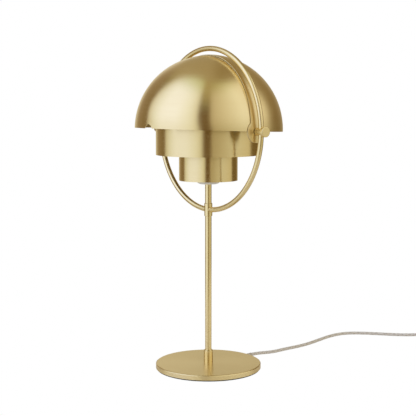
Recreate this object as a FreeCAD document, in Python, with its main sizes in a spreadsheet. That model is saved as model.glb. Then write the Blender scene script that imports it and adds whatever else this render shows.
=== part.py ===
import FreeCAD, Part
import math
import operator
import os
from types import SimpleNamespace

import Sketcher
from FreeCAD import Placement, Rotation, Vector

# Driving sizes in millimetres, angles in degrees
SIZES = {
    "overall_height": 500.0,
    "fit_clearance": 0.05,
    # Base
    "pad_diameter": 161.0,
    "pad_thickness": 2.0,
    "base_diameter": 164.0,
    "base_thickness": 7.5,
    "base_edge_round": 1.5,
    "recess_diameter": 44.0,
    "recess_depth": 3.6,
    "channel_width": 6.4,
    "channel_rise": 1.3,
    "cord_exit_angle": 7.5,
    # Stem and its collar
    "stem_diameter": 10.0,
    "stem_bore": 7.0,
    "stem_entry": 10.0,
    "collar_diameter": 14.0,
    "collar_height": 20.0,
    "collar_chamfer": 0.6,
    # Hoop
    "hoop_gap": 5.0,
    "hoop_tube": 8.0,
    "hoop_wall": 1.0,
    "hoop_end_gap": 0.3,
    "cross_diameter": 12.4,
    "cross_height": 20.0,
    "cross_chamfer": 0.5,
    # Shades
    "shade_diameter": 228.0,
    "shade_wall": 0.9,
    "shade_gap": 0.5,
    "front_edge": 10.0,
    "rear_edge": 11.6,
    "seam_lean": 1.8,
    "ear_diameter": 33.0,
    "neck_reach": 9.0,
    "neck_height": 15.0,
    "notch_diameter": 18.4,
    "notch_drop": 2.8,
    "shade_rest_tilt": 2.0,
    # Pivots
    "pin_diameter": 5.0,
    "pin_tail": 1.0,
    "washer_thickness": 0.8,
    "outer_washer_diameter": 10.8,
    "outer_washer_gap": 0.1,
    "inner_washer_diameter": 11.0,
    "inner_washer_gap": 0.4,
    "nut_width": 9.2,
    "nut_length": 4.0,
    "bush_diameter": 11.8,
    "bush_margin": 0.6,
    "knob_diameter": 15.5,
    "knob_length": 6.4,
    "knob_round": 1.0,
    "knob_hole_depth": 3.4,
    # Drums and their spiders
    "middle_drum_diameter": 161.0,
    "middle_drum_height": 76.4,
    "small_drum_diameter": 90.2,
    "small_drum_height": 42.6,
    "small_drum_reach": 77.6,
    "drum_wall": 1.0,
    "hem_height": 2.0,
    "hem_depth": 0.6,
    "spider_thickness": 1.5,
    "spider_arm_width": 9.0,
    "spider_tab_height": 8.0,
    "spider_tab_gap": 0.3,
    "upper_hub_bore": 72.0,
    "upper_hub_diameter": 92.0,
    # Lampholder
    "holder_diameter": 40.0,
    "holder_drop": 5.9,
    "holder_foot_diameter": 22.0,
    "holder_dome_height": 8.0,
    "holder_dome_radius": 9.2,
    "holder_floor": 12.0,
    "holder_cap_height": 22.5,
    "holder_body_height": 36.0,
    "holder_wall": 2.2,
    "insert_height": 18.0,
    "insert_gap": 0.2,
    "insert_headroom": 1.0,
    "thread_diameter": 27.8,
    "thread_wall": 0.55,
    "thread_height": 25.0,
    "thread_gap": 0.4,
    "holder_contact_diameter": 8.0,
    "holder_contact_height": 1.5,
    "clamp_ring_diameter": 54.0,
    "clamp_ring_height": 8.0,
    # Bulb
    "bulb_diameter": 45.0,
    "bulb_height": 74.5,
    "bulb_neck_diameter": 26.4,
    "bulb_glass_wall": 1.0,
    "bulb_cap_diameter": 26.0,
    "bulb_cap_height": 25.0,
    "bulb_cap_taper": 4.0,
    "bulb_thread_depth": 0.7,
    "bulb_thread_pitch": 3.6,
    "bulb_contact_diameter": 9.0,
    "bulb_contact_height": 1.5,
    # Leads, gland and cord
    "lead_diameter": 2.0,
    "lead_spacing": 2.6,
    "lead_height": 4.0,
    "lead_bend": 4.0,
    "gland_neck": 10.0,
    "gland_flange_diameter": 6.5,
    "gland_length": 18.0,
    "gland_seat_gap": 0.15,
    "cord_diameter": 5.2,
    "coil_radius": 40.0,
    "coil_gap": 0.6,
    "coil_descent": 30.0,
    "cord_heading": 52.0,
    # Tie round the coil
    "tie_thickness": 1.0,
    "tie_width": 10.0,
    "tie_gap": 0.3,
    "tie_inner_gap": 1.0,
    # Switch
    "switch_length": 58.0,
    "switch_width": 24.0,
    "switch_split": 7.0,
    "switch_height": 14.0,
    "switch_corner": 5.0,
    "switch_wall": 2.0,
    "rocker_length": 18.0,
    "rocker_width": 12.0,
    "rocker_rise": 2.4,
    "rocker_sink": 3.2,
    "rocker_gap": 0.4,
    "rocker_tilt": 7.0,
    "rocker_pin_diameter": 1.6,
    "rocker_pin_length": 1.4,
    "screw_diameter": 5.0,
    "screw_shank": 2.8,
    "screw_spacing": 44.0,
    "screw_head_depth": 1.6,
    "screw_length": 9.0,
    # Plug
    "plug_length": 36.0,
    "plug_width": 35.0,
    "plug_tail_width": 16.0,
    "plug_shoulder": 16.0,
    "plug_height": 14.0,
    "plug_corner": 2.5,
    "plug_relief_length": 22.0,
    "plug_relief_diameter": 9.0,
    "plug_relief_tip": 6.4,
    "plug_pin_diameter": 4.0,
    "plug_pin_length": 19.0,
    "plug_pin_spacing": 18.6,
    "plug_pin_round": 1.6,
}

# Points of the free cord: out of the gland, along the table and up to the switch
CORD_RUN = [
    (-13.07, 99.28, 3.3),
    (-14.37, 109.19, 3.2),
    (-12.2, 122.5, 2.8),
    (-6.5, 141.8, 2.6),
    (-9.0, 170.0, 2.6),
    (-8.7, 197.2, 2.6),
    (-11.5, 225.6, 2.6),
    (-21.4, 262.4, 2.6),
    (-31.3, 300.2, 2.6),
    (-30.5, 334.0, 2.6),
    (-12.0, 358.5, 2.6),
    (13.5, 379.5, 2.6),
    (38.0, 399.0, 2.7),
    (59.5, 415.5, 4.0),
    (74.33, 427.63, 6.9),
    (84.0, 440.0, 7.0),
]

# Points of the short cord from the switch to the coil
CORD_TAIL = [
    (119.71, 485.70, 7.0),
    (127.71, 495.94, 6.8),
    (136.31, 506.97, 4.2),
    (144.33, 517.22, 3.9),
]

doc = FreeCAD.newDocument("BallTableLamp")
sheet = doc.addObject("Spreadsheet::Sheet", "Sizes")
for row, (alias, value) in enumerate(SIZES.items(), start=1):
    sheet.set("A%d" % row, alias)
    sheet.set("B%d" % row, str(value))
    sheet.setAlias("B%d" % row, alias)
doc.recompute()


class Size:
    """A number together with the sheet formula that gives it."""

    def __init__(self, number, formula):
        self.number = number
        self.formula = formula

    def __add__(self, other):
        return joined(self, "+", other)

    def __radd__(self, other):
        return joined(other, "+", self)

    def __sub__(self, other):
        return joined(self, "-", other)

    def __rsub__(self, other):
        return joined(other, "-", self)

    def __mul__(self, other):
        return joined(self, "*", other)

    def __rmul__(self, other):
        return joined(other, "*", self)

    def __truediv__(self, other):
        return joined(self, "/", other)


SIGNS = {"+": operator.add, "-": operator.sub, "*": operator.mul, "/": operator.truediv}


def as_size(value):
    if isinstance(value, Size):
        return value
    return Size(float(value), "(%s)" % float(value))


def joined(left, sign, right):
    left = as_size(left)
    right = as_size(right)
    number = SIGNS[sign](left.number, right.number)
    return Size(number, "(%s %s %s)" % (left.formula, sign, right.formula))


def root(value):
    return Size(math.sqrt(value.number), "sqrt(%s)" % value.formula)


S = SimpleNamespace(**{alias: Size(value, "Sizes." + alias) for alias, value in SIZES.items()})
NOTHING = as_size(0.0)
nodes = []


def finished(piece, label=None):
    """Take a piece into the list of nodes that are written out."""
    if label:
        piece.Label = label
    nodes.append(piece)
    return piece


def bind(feature, prop, size):
    feature.setExpression(prop, as_size(size).formula)


def place(feature, x=NOTHING, y=NOTHING, z=NOTHING, turn=None):
    feature.Placement = Placement(Vector(0, 0, 0), turn or Rotation())
    for axis, size in zip("xyz", (x, y, z)):
        bind(feature, "Placement.Base." + axis, size)
    return feature


TO_X = Rotation(Vector(0, 1, 0), 90)
TO_MINUS_X = Rotation(Vector(0, 1, 0), -90)
TO_Y = Rotation(Vector(1, 0, 0), -90)


def box(name, low, high):
    solid = doc.addObject("Part::Box", name)
    for prop, start, end in zip(("Length", "Width", "Height"), low, high):
        bind(solid, prop, as_size(end) - start)
    return place(solid, *low)


def cylinder(name, radius, length, x=NOTHING, y=NOTHING, z=NOTHING, turn=None):
    solid = doc.addObject("Part::Cylinder", name)
    bind(solid, "Radius", radius)
    bind(solid, "Height", length)
    return place(solid, x, y, z, turn)


def ball(name, radius):
    solid = doc.addObject("Part::Sphere", name)
    bind(solid, "Radius", radius)
    return place(solid, turn=TO_X)


def hoop(name, tube_radius):
    """A full ring in the XZ plane about the pivot height, its seam at the bottom."""
    solid = doc.addObject("Part::Torus", name)
    bind(solid, "Radius1", hoop_radius)
    bind(solid, "Radius2", tube_radius)
    upright = Rotation(Vector(1, 0, 0), 90) * Rotation(Vector(0, 0, 1), -90)
    return place(solid, z=pivot_height, turn=upright)


def cut(name, base, tool):
    result = doc.addObject("Part::Cut", name)
    result.Base = base
    result.Tool = tool
    return result


def common(name, base, tool):
    result = doc.addObject("Part::Common", name)
    result.Base = base
    result.Tool = tool
    return result


def fuse(name, pieces):
    result = doc.addObject("Part::MultiFuse", name)
    result.Shapes = pieces
    return result


def group(name, pieces):
    result = doc.addObject("Part::Compound", name)
    result.Links = pieces
    return result


def origin_plane(body, role):
    return next(item for item in body.Origin.OriginFeatures if item.Role == role)


def arc_middle(start, end, radius):
    """The middle of the arc from start to end; a plus radius bends to the left."""
    chord = end - start
    half = chord.Length / 2
    left = Vector(-chord.y, chord.x, 0).normalize()
    rise = abs(radius) - math.sqrt(max(radius * radius - half * half, 0.0))
    return (start + end) * 0.5 - left * math.copysign(rise, radius)


def outline_sketch(body, name, role, corners):
    """A closed outline; a third value bends the side that leads to that corner."""
    sketch = body.newObject("Sketcher::SketchObject", name)
    sketch.AttachmentSupport = (origin_plane(body, role), [""])
    sketch.MapMode = "FlatFace"
    corners = [tuple(as_size(value) for value in corner) for corner in corners]
    points = [Vector(corner[0].number, corner[1].number, 0) for corner in corners]
    ends = []
    for index, corner in enumerate(corners):
        start = points[index - 1]
        end = points[index]
        if len(corner) == 2:
            side = sketch.addGeometry(Part.LineSegment(start, end), False)
            ends.append((side, 1, 2))
            continue
        middle = arc_middle(start, end, corner[2].number)
        side = sketch.addGeometry(Part.Arc(start, middle, end), False)
        forward = sketch.getPoint(side, 1).distanceToPoint(start) < 1e-6
        ends.append((side, 1, 2) if forward else (side, 2, 1))
    for index, corner in enumerate(corners):
        side, first, last = ends[index]
        before, _, before_last = ends[index - 1]
        sketch.addConstraint(Sketcher.Constraint("Coincident", before, before_last, side, first))
        for kind, axis, size in (("DistanceX", -2, corner[0]), ("DistanceY", -1, corner[1])):
            if abs(size.number) < 1e-9:
                sketch.addConstraint(Sketcher.Constraint("PointOnObject", side, last, axis))
                continue
            rule = sketch.addConstraint(Sketcher.Constraint(kind, -1, 1, side, last, size.number))
            sketch.setExpression("Constraints[%d]" % rule, size.formula)
        if len(corner) == 3:
            bend = corner[2] if corner[2].number > 0 else corner[2] * -1
            rule = sketch.addConstraint(Sketcher.Constraint("Radius", side, bend.number))
            sketch.setExpression("Constraints[%d]" % rule, bend.formula)
    return sketch


def turned(name, corners):
    """A body turned about its own Z from an outline of (radius, height) corners."""
    body = doc.addObject("PartDesign::Body", name)
    sketch = outline_sketch(body, name + "_outline", "XZ_Plane", corners)
    turn = body.newObject("PartDesign::Revolution", name + "_turn")
    turn.Profile = sketch
    turn.ReferenceAxis = (sketch, ["V_Axis"])
    turn.Angle = 360
    return body


def tube(name, inner, outer, bottom, top):
    return turned(name, [(inner, bottom), (outer, bottom), (outer, top), (inner, top)])


def slab(name, corners, height):
    """A plate of the given outline, standing on its XY plane."""
    body = doc.addObject("PartDesign::Body", name)
    sketch = outline_sketch(body, name + "_outline", "XY_Plane", corners)
    pad = body.newObject("PartDesign::Pad", name + "_pad")
    pad.Profile = sketch
    bind(pad, "Length", height)
    return body


def round_uprights(body, radius):
    """Round the upright edges of a slab."""
    doc.recompute()
    edges = []
    for number, edge in enumerate(body.Tip.Shape.Edges, start=1):
        first, last = edge.Vertexes[0].Point, edge.Vertexes[-1].Point
        if abs(first.x - last.x) < 1e-6 and abs(first.y - last.y) < 1e-6:
            edges.append("Edge%d" % number)
    blank = body.Tip
    fillet = body.newObject("PartDesign::Fillet", body.Name + "_corners")
    fillet.Base = (blank, edges)
    bind(fillet, "Radius", radius)
    body.Tip = fillet
    return body


# Heights and radii that several pieces share
base_radius = S.base_diameter / 2
base_top = S.pad_thickness + S.base_thickness
recess_top = S.pad_thickness + S.recess_depth
stem_radius = S.stem_diameter / 2
stem_hole = stem_radius + S.fit_clearance
rear_radius = S.shade_diameter / 2
hoop_tube_radius = S.hoop_tube / 2
hoop_radius = rear_radius + S.hoop_gap + hoop_tube_radius
pivot_height = S.overall_height - hoop_radius - hoop_tube_radius
cross_height = pivot_height - hoop_radius
pin_radius = S.pin_diameter / 2
pin_hole = pin_radius + S.fit_clearance
cord_radius = S.cord_diameter / 2
channel_height = S.pad_thickness + S.channel_rise
holder_bottom = pivot_height - S.small_drum_reach - S.holder_drop
holder_floor = holder_bottom + S.holder_floor
out_back = Rotation(Vector(0, 0, 1), SIZES["cord_exit_angle"])


# Base
gland_start = base_radius - S.gland_neck
pad_slot = box(
    "pad_slot",
    (S.channel_width * -0.5, gland_start - S.pad_thickness, S.pad_thickness * -1),
    (S.channel_width * 0.5, S.base_diameter, S.pad_thickness * 2),
)
pad_blank = tube("pad_blank", NOTHING, S.pad_diameter / 2, NOTHING, S.pad_thickness)
base_pad = finished(cut("base_pad", pad_blank, pad_slot))
base_blank = turned("base_blank", [
    (stem_hole, recess_top),
    (S.recess_diameter / 2, recess_top),
    (S.recess_diameter / 2, S.pad_thickness),
    (base_radius, S.pad_thickness),
    (base_radius, base_top - S.base_edge_round),
    (base_radius - S.base_edge_round, base_top, S.base_edge_round),
    (stem_hole, base_top),
])
channel_floor = box(
    "channel_floor",
    (S.channel_width * -0.5, NOTHING, NOTHING),
    (S.channel_width * 0.5, S.base_diameter, channel_height),
)
channel_round = cylinder("channel_round", S.channel_width / 2, S.base_diameter, z=channel_height, turn=TO_Y)
channel = fuse("channel", [channel_floor, channel_round])
base_plate = finished(cut("base_plate", base_blank, channel))
for piece in (base_pad, base_plate):
    place(piece, turn=out_back)
    piece.setExpression("Placement.Rotation.Angle", "Sizes.cord_exit_angle * 1 deg")

collar_top = base_top + S.collar_height
collar_radius = S.collar_diameter / 2
finished(turned("foot_collar", [
    (stem_hole, base_top),
    (collar_radius, base_top),
    (collar_radius, collar_top - S.collar_chamfer),
    (collar_radius - S.collar_chamfer, collar_top),
    (stem_hole, collar_top),
]))
finished(tube("stem_tube", S.stem_bore / 2, stem_radius, recess_top, holder_bottom + S.stem_entry))

# Hoop and the sleeve that holds its ends
hoop_skin = hoop("hoop_skin", hoop_tube_radius)
hoop_core = hoop("hoop_core", hoop_tube_radius - S.hoop_wall)
hoop_pipe = cut("hoop_pipe", hoop_skin, hoop_core)
stem_space = cylinder("stem_space", stem_radius + S.hoop_end_gap, pivot_height)
pin_space = cylinder("pin_space", pin_hole, hoop_radius * 4, x=hoop_radius * -2, z=pivot_height, turn=TO_X)
hoop_spaces = fuse("hoop_spaces", [stem_space, pin_space])
finished(cut("hoop_ring", hoop_pipe, hoop_spaces))
cross_radius = S.cross_diameter / 2
cross_bottom = cross_height - S.cross_height / 2
cross_top = cross_height + S.cross_height / 2
cross_blank = turned("cross_blank", [
    (stem_hole, cross_bottom),
    (cross_radius - S.cross_chamfer, cross_bottom),
    (cross_radius, cross_bottom + S.cross_chamfer),
    (cross_radius, cross_top - S.cross_chamfer),
    (cross_radius - S.cross_chamfer, cross_top),
    (stem_hole, cross_top),
])
hoop_seat = hoop("hoop_seat", hoop_tube_radius + S.fit_clearance)
finished(cut("hoop_cross", cross_blank, hoop_seat))

# Pivots, counted outwards from the inside of the front shade
front_radius = rear_radius - S.shade_wall - S.shade_gap
inner_washer_end = front_radius - S.shade_wall - S.inner_washer_gap
nut_end = inner_washer_end - S.washer_thickness
pin_start = nut_end - S.nut_length - S.pin_tail
outer_washer_start = rear_radius + S.outer_washer_gap
bush_start = outer_washer_start + S.washer_thickness
bush_end = hoop_radius + hoop_tube_radius + S.bush_margin
knob_radius = S.knob_diameter / 2
pin_end = bush_end + S.knob_hole_depth


def pivot_side(side, sign, turn):
    """All pieces of the pivot on one side; the sign tells which way X runs."""
    def outwards(piece, start):
        return place(piece, x=start * sign, z=pivot_height, turn=turn)

    axle = tube("pivot_axle_" + side, NOTHING, pin_radius, NOTHING, pin_end - pin_start)
    finished(outwards(axle, pin_start))
    knob = turned("pivot_knob_" + side, [
        (pin_hole, NOTHING),
        (knob_radius - S.knob_round, NOTHING),
        (knob_radius, S.knob_round, S.knob_round),
        (knob_radius, S.knob_length - S.knob_round),
        (knob_radius - S.knob_round, S.knob_length, S.knob_round),
        (NOTHING, S.knob_length),
        (NOTHING, S.knob_hole_depth),
        (pin_hole, S.knob_hole_depth),
    ])
    finished(outwards(knob, bush_end))
    blank = tube("bush_blank_" + side, pin_hole, S.bush_diameter / 2, NOTHING, bush_end - bush_start)
    seat = hoop("bush_seat_" + side, hoop_tube_radius + S.fit_clearance)
    finished(cut("pivot_bush_" + side, outwards(blank, bush_start), seat))
    outer = tube("outer_washer_" + side, pin_hole, S.outer_washer_diameter / 2, NOTHING, S.washer_thickness)
    inner = tube("inner_washer_" + side, pin_hole, S.inner_washer_diameter / 2, NOTHING, S.washer_thickness)
    hexagon = doc.addObject("Part::Prism", "nut_blank_" + side)
    hexagon.Polygon = 6
    bind(hexagon, "Circumradius", S.nut_width / 2)
    bind(hexagon, "Height", S.nut_length)
    bore = cylinder("nut_bore_" + side, pin_hole, S.nut_length)
    nut = cut("nut_" + side, hexagon, bore)
    return (
        outwards(outer, outer_washer_start),
        outwards(inner, inner_washer_end - S.washer_thickness),
        outwards(nut, nut_end - S.nut_length),
    )


right_set = pivot_side("right", 1, TO_X)
left_set = pivot_side("left", -1, TO_MINUS_X)
for label, right, left in zip(("outer_washers", "inner_washers", "pivot_nuts"), right_set, left_set):
    finished(group(label, [right, left]))


def shade(name, radius, side, edge):
    """A quarter ball up to a leaned edge, with ears, pin holes and a stem notch."""
    reach = S.shade_diameter
    ear = S.ear_diameter / 2
    shell = cut(name + "_shell", ball(name + "_skin", radius), ball(name + "_core", radius - S.shade_wall))
    upper = box(name + "_upper", (reach * -1, reach * -1, NOTHING), (reach, reach, reach))
    behind = box(name + "_behind", (reach * -1, edge * -1, NOTHING), (reach, reach, reach))
    place(behind, x=reach * -1, turn=Rotation(Vector(-1, 0, 0), SIZES["seam_lean"]))
    dip = "sin(Sizes.seam_lean * 1 deg) * " + ear.formula
    behind.setExpression("Placement.Base.y", "%s * -1 - %s" % (edge.formula, dip))
    behind.setExpression("Placement.Base.z", "-cos(Sizes.seam_lean * 1 deg) * %s" % ear.formula)
    behind.setExpression("Placement.Rotation.Angle", "Sizes.seam_lean * 1 deg")
    region = [cylinder(name + "_ears", ear, reach * 2, x=reach * -1, turn=TO_X)]
    if side < 0:
        region.append(cut(name + "_wedge", upper, behind))
        region.append(box(
            name + "_neck",
            (reach * -1, (edge + S.neck_reach) * -1, NOTHING),
            (reach, S.neck_reach - edge, S.neck_height),
        ))
    else:
        region.append(common(name + "_wedge", upper, behind))
    kept = common(name + "_kept", shell, fuse(name + "_region", region))
    pins = cylinder(name + "_pins", pin_hole, reach * 2, x=reach * -1, turn=TO_X)
    start = reach * -1 if side < 0 else NOTHING
    notch = cylinder(name + "_notch", S.notch_diameter / 2, reach, y=start, z=S.notch_drop * -1, turn=TO_Y)
    piece = finished(cut(name, kept, fuse(name + "_openings", [pins, notch])))
    place(piece, z=pivot_height, turn=Rotation(Vector(-1, 0, 0), SIZES["shade_rest_tilt"]))
    piece.setExpression("Placement.Rotation.Angle", "Sizes.shade_rest_tilt * 1 deg")


shade("front_shade", front_radius, -1, S.front_edge)
shade("rear_shade", rear_radius, 1, S.rear_edge)


def drum(name, diameter, bottom, height):
    """A thin open cylinder whose two rims are turned in a little."""
    outer = diameter / 2
    inner = outer - S.drum_wall
    hem = inner - S.hem_depth
    top = bottom + height
    finished(turned(name, [
        (hem, bottom),
        (outer, bottom),
        (outer, top),
        (hem, top),
        (hem, top - S.hem_height),
        (inner, top - S.hem_height),
        (inner, bottom + S.hem_height),
        (hem, bottom + S.hem_height),
    ]))


lower_drum_bottom = pivot_height - S.small_drum_reach
lower_spider_bottom = lower_drum_bottom + S.small_drum_height
upper_drum_bottom = pivot_height + S.small_drum_reach - S.small_drum_height
drum("middle_drum", S.middle_drum_diameter, pivot_height - S.middle_drum_height / 2, S.middle_drum_height)
drum("lower_drum", S.small_drum_diameter, lower_drum_bottom, S.small_drum_height)
drum("upper_drum", S.small_drum_diameter, upper_drum_bottom, S.small_drum_height)


def spider(name, bore, diameter):
    """A ring with three arms whose tabs turn up inside the middle drum."""
    body = tube(name, bore, diameter / 2, NOTHING, S.spider_thickness)
    reach = S.middle_drum_diameter / 2 - S.drum_wall - S.spider_tab_gap
    tab = reach - S.spider_thickness
    tab_top = S.spider_thickness + S.spider_tab_height
    sketch = outline_sketch(body, name + "_arm_outline", "XZ_Plane", [
        ((bore + diameter / 2) / 2, NOTHING),
        (reach, NOTHING),
        (reach, tab_top),
        (tab, tab_top),
        (tab, S.spider_thickness),
        ((bore + diameter / 2) / 2, S.spider_thickness),
    ])
    arm = body.newObject("PartDesign::Pad", name + "_arm")
    arm.Profile = sketch
    bind(arm, "Length", S.spider_arm_width)
    arm.SideType = "Symmetric"
    arms = body.newObject("PartDesign::PolarPattern", name + "_arms")
    arms.Originals = [arm]
    arms.Axis = (origin_plane(body, "Z_Axis"), [""])
    arms.Angle = 360
    arms.Occurrences = 3
    body.Tip = arms
    return finished(body)


holder_radius = S.holder_diameter / 2
clamp_bore = holder_radius + S.fit_clearance
clamp_radius = S.clamp_ring_diameter / 2
place(spider("lower_spider", clamp_bore, S.clamp_ring_diameter), z=lower_spider_bottom)
upside_down = Rotation(Vector(1, 0, 0), 180)
upper_spider = spider("upper_spider", S.upper_hub_bore / 2, S.upper_hub_diameter)
place(upper_spider, z=upper_drum_bottom, turn=upside_down)

# Lampholder
cap_top = holder_bottom + S.holder_cap_height
dome_top = holder_bottom + S.holder_dome_height
cap_bore = holder_radius - S.holder_wall
insert_top = holder_floor + S.insert_height
step = insert_top + S.insert_headroom
body_top = cap_top + S.holder_body_height
thread_radius = S.thread_diameter / 2
finished(turned("holder_cap", [
    (stem_hole, holder_bottom),
    (S.holder_foot_diameter / 2, holder_bottom),
    (holder_radius, dome_top, S.holder_dome_radius),
    (holder_radius, cap_top),
    (cap_bore, cap_top),
    (cap_bore, holder_floor),
    (stem_hole, holder_floor),
]))
finished(turned("holder_body", [
    (cap_bore, cap_top),
    (holder_radius, cap_top),
    (holder_radius, body_top),
    (thread_radius + S.thread_gap, body_top),
    (thread_radius + S.thread_gap, step),
    (cap_bore, step),
]))
finished(tube("holder_insert", NOTHING, cap_bore - S.insert_gap, holder_floor, insert_top))
thread_top = insert_top + S.thread_height
finished(tube("holder_thread", thread_radius - S.thread_wall, thread_radius, insert_top, thread_top))
contact_top = insert_top + S.holder_contact_height
finished(tube("holder_contact", NOTHING, S.holder_contact_diameter / 2, insert_top, contact_top))
lower_ring_bottom = lower_spider_bottom - S.clamp_ring_height
upper_ring_bottom = lower_spider_bottom + S.spider_thickness
finished(tube("shade_ring_lower", clamp_bore, clamp_radius, lower_ring_bottom, lower_spider_bottom))
upper_ring_top = upper_ring_bottom + S.clamp_ring_height
finished(tube("shade_ring_upper", clamp_bore, clamp_radius, upper_ring_bottom, upper_ring_top))

# Bulb, standing on the contact of the lampholder
bulb_bottom = contact_top
bulb_contact_top = bulb_bottom + S.bulb_contact_height
bulb_cap_top = bulb_contact_top + S.bulb_cap_height
finished(tube("bulb_contact", NOTHING, S.bulb_contact_diameter / 2, bulb_bottom, bulb_contact_top))
bulb_cap_radius = S.bulb_cap_diameter / 2
thread_root = bulb_cap_radius - S.bulb_thread_depth
thread_start = bulb_contact_top + S.bulb_cap_taper
cap_outline = [
    (NOTHING, bulb_contact_top),
    (S.bulb_contact_diameter / 2, bulb_contact_top),
    (thread_root, thread_start),
]
for ring in range(5):
    height = thread_start + S.bulb_thread_pitch * ring
    cap_outline.append((bulb_cap_radius, height + S.bulb_thread_pitch / 2))
    cap_outline.append((thread_root, height + S.bulb_thread_pitch))
cap_outline.append((thread_root, bulb_cap_top))
cap_outline.append((NOTHING, bulb_cap_top))
finished(turned("bulb_cap", cap_outline))
glass_radius = S.bulb_diameter / 2
neck_radius = S.bulb_neck_diameter / 2
glass_top = bulb_bottom + S.bulb_height
glass_centre = glass_top - glass_radius
inside_radius = glass_radius - S.bulb_glass_wall
inside_neck = neck_radius - S.bulb_glass_wall
inside_neck_height = glass_centre - root(inside_radius * inside_radius - inside_neck * inside_neck)
finished(turned("bulb_globe", [
    (inside_neck, bulb_cap_top),
    (neck_radius, bulb_cap_top),
    (neck_radius, glass_centre - root(glass_radius * glass_radius - neck_radius * neck_radius)),
    (NOTHING, glass_top, glass_radius),
    (NOTHING, glass_top - S.bulb_glass_wall),
    (inside_neck, inside_neck_height, inside_radius * -1),
]))

# Gland at the back of the base
gland_neck_radius = (S.channel_width - S.fit_clearance * 4) / 2
gland_end = S.gland_neck + S.gland_seat_gap + S.gland_length
gland = finished(turned("cord_gland", [
    (NOTHING, NOTHING),
    (gland_neck_radius, NOTHING),
    (gland_neck_radius, S.gland_neck + S.gland_seat_gap),
    (S.gland_flange_diameter / 2, S.gland_neck + S.gland_seat_gap),
    (cord_radius + S.fit_clearance * 10, gland_end),
    (NOTHING, gland_end),
]))
exit_turn = math.radians(SIZES["cord_exit_angle"])
exit_way = Vector(-math.sin(exit_turn), math.cos(exit_turn), 0)
place(gland, z=channel_height, turn=Rotation(Vector(0, 0, 1), exit_way))
gland.setExpression("Placement.Base.x", "-sin(Sizes.cord_exit_angle * 1 deg) * %s" % gland_start.formula)
gland.setExpression("Placement.Base.y", "cos(Sizes.cord_exit_angle * 1 deg) * %s" % gland_start.formula)
doc.recompute()


def piece_from(name, shape):
    piece = doc.addObject("Part::Feature", name)
    piece.Shape = shape
    return finished(piece)


def round_tube(edges, radius):
    """A round solid along a smooth row of edges."""
    path = Part.Wire(edges)
    first = path.OrderedEdges[0]
    start = first.valueAt(first.FirstParameter)
    way = first.tangentAt(first.FirstParameter)
    ring = Part.Wire(Part.makeCircle(radius, start, way))
    solid = path.makePipeShell([ring], True, False)
    wanted = math.pi * radius * radius * path.Length
    print("tube length %.1f, volume against section times length %.4f" % (path.Length, solid.Volume / wanted))
    return solid


def bent_line(points):
    """Straight runs with a tangent arc at every inner point."""
    points = [Vector(*point) for point in points]
    edges = []
    radii = []
    last = points[0]
    for before, corner, after in zip(points, points[1:], points[2:]):
        back = (before - corner)
        ahead = (after - corner)
        reach = 0.45 * min(back.Length, ahead.Length)
        turn = math.pi - back.getAngle(ahead)
        radius = reach / math.tan(turn / 2)
        radii.append(radius)
        enter = corner + back.normalize() * reach
        leave = corner + ahead.normalize() * reach
        chord = (enter + leave) * 0.5
        inward = (chord - corner).normalize()
        middle = corner + inward * (radius / math.cos(turn / 2) - radius)
        edges.append(Part.LineSegment(last, enter).toShape())
        edges.append(Part.Arc(enter, middle, leave).toShape())
        last = leave
    edges.append(Part.LineSegment(last, points[-1]).toShape())
    print("bend radii", " ".join("%.0f" % radius for radius in radii))
    return edges


def arc_to(start, way, end):
    """The arc that leaves start along way and reaches end."""
    chord = end - start
    turn = 2 * way.getAngle(chord)
    if turn < 1e-4:
        return Part.LineSegment(start, end).toShape()
    across = way - chord * (way.dot(chord) / chord.dot(chord))
    middle = (start + end) * 0.5 + across.normalize() * (chord.Length / 2 * math.tan(turn / 4))
    return Part.Arc(start, middle, end).toShape()


def biarc(start, way, end, end_way):
    """Two arcs that join two points smoothly."""
    span = end - start
    both = way + end_way
    spread = 2 * (1 - way.dot(end_way))
    if spread < 1e-9:
        reach = span.dot(span) / (4 * span.dot(end_way))
    else:
        along = span.dot(both)
        reach = (math.sqrt(along * along + spread * span.dot(span)) - along) / spread
    joint = (start + way * reach + end - end_way * reach) * 0.5
    joint_way = ((end - end_way * reach) - (start + way * reach)).normalize()
    return [arc_to(start, way, joint), arc_to(joint, joint_way, end)]


# Leads from the gland through the channel and up the stem
lead_top = holder_floor.number
leads = []
for sign in (-1, 1):
    across = sign * SIZES["lead_spacing"] / 2
    low = SIZES["lead_height"]
    bend = SIZES["lead_bend"]
    far = Vector(across, gland_start.number, low)
    near = Vector(across, bend, low)
    up = Vector(across, 0, low + bend)
    top = Vector(across, 0, lead_top)
    slant = bend * (1 - math.sqrt(0.5))
    turn = Part.Arc(near, Vector(across, slant, low + slant), up)
    lead = [Part.LineSegment(far, near).toShape(), turn.toShape(), Part.LineSegment(up, top).toShape()]
    leads.append(round_tube(lead, SIZES["lead_diameter"] / 2))
inner_leads = piece_from("inner_leads", Part.makeCompound(leads))
inner_leads.Placement = Placement(Vector(0, 0, 0), out_back)

# Free cord before and after the switch
piece_from("cord_run", round_tube(bent_line(CORD_RUN), cord_radius.number))
piece_from("cord_tail", round_tube(bent_line(CORD_TAIL), cord_radius.number))

# Coil: in by three turns, up a layer over half a turn, out again by three turns
TURNS = 3
heading = math.radians(SIZES["cord_heading"])
onward = Vector(math.cos(heading), math.sin(heading), 0)
rightward = Vector(math.sin(heading), -math.cos(heading), 0)
coil_pitch = S.cord_diameter + S.coil_gap
coil_low = S.tie_thickness + S.tie_gap + cord_radius
coil_high = coil_low + coil_pitch
coil_start = Vector(*CORD_TAIL[-1])
coil_start.z = coil_low.number
wind_start = coil_start + onward * SIZES["cord_diameter"]
coil_centre = Vector(wind_start.x, wind_start.y, 0) + rightward * SIZES["coil_radius"]


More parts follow.
